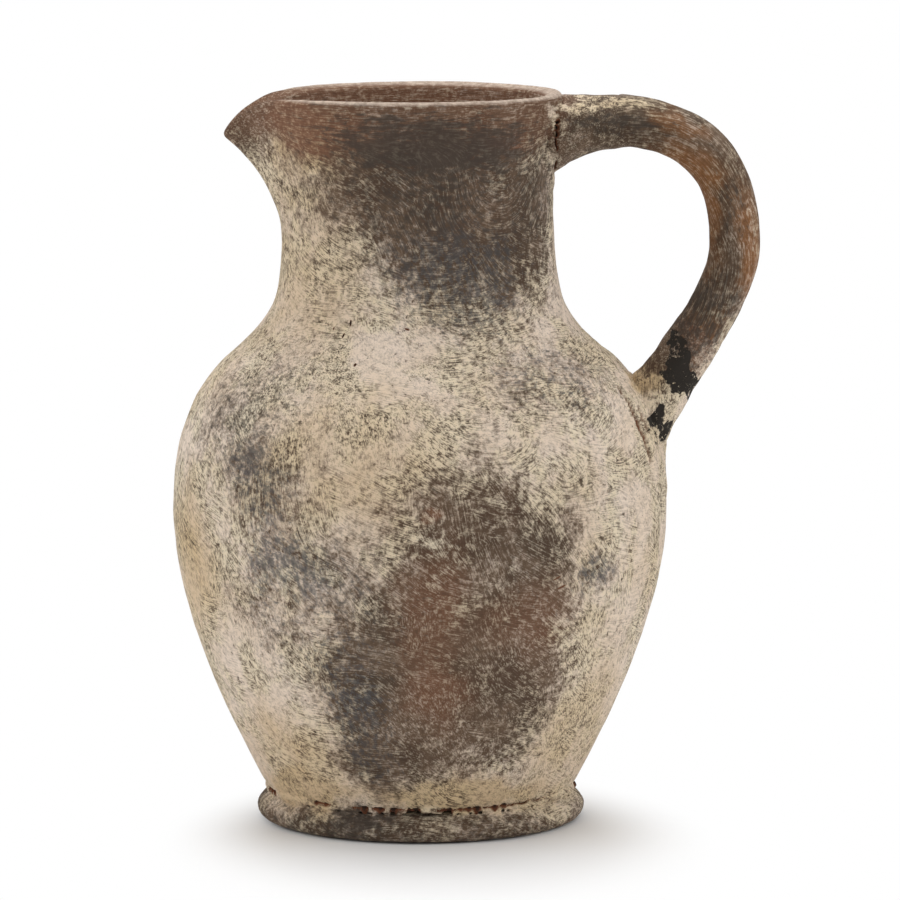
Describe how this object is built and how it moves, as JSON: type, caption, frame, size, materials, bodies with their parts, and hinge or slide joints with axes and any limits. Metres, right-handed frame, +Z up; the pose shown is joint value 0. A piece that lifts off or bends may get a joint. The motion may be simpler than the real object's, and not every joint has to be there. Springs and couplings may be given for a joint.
{
  "type": "jug",
  "caption": "Hand-thrown round-bellied clay jug on a pad foot, with a pinched pouring beak and a pulled loop handle luted to the neck and shoulder.",
  "frame": {"origin": "centre of the flat underside of the base pad, on the axis of the body and on the plane the jug stands on", "axes": "+Z up along the axis of the body, +X towards the handle, -X towards the pouring beak"},
  "size_m": [0.2168, 0.183, 0.27],
  "materials": {
    "foot_clay": "matte",
    "slipped_clay": "matte",
    "handle_clay": "matte",
    "luting_clay": "matte",
    "crease_clay": "matte",
    "inner_clay": "matte"
  },
  "bodies": {
    "root": {"base_pad": "foot_clay", "body_wall": "slipped_clay", "handle": "handle_clay", "upper_luting": "luting_clay", "lower_luting": "luting_clay", "base_luting_bead": "crease_clay", "inner_base_luting": "inner_clay"}
  },
  "joints": []
}
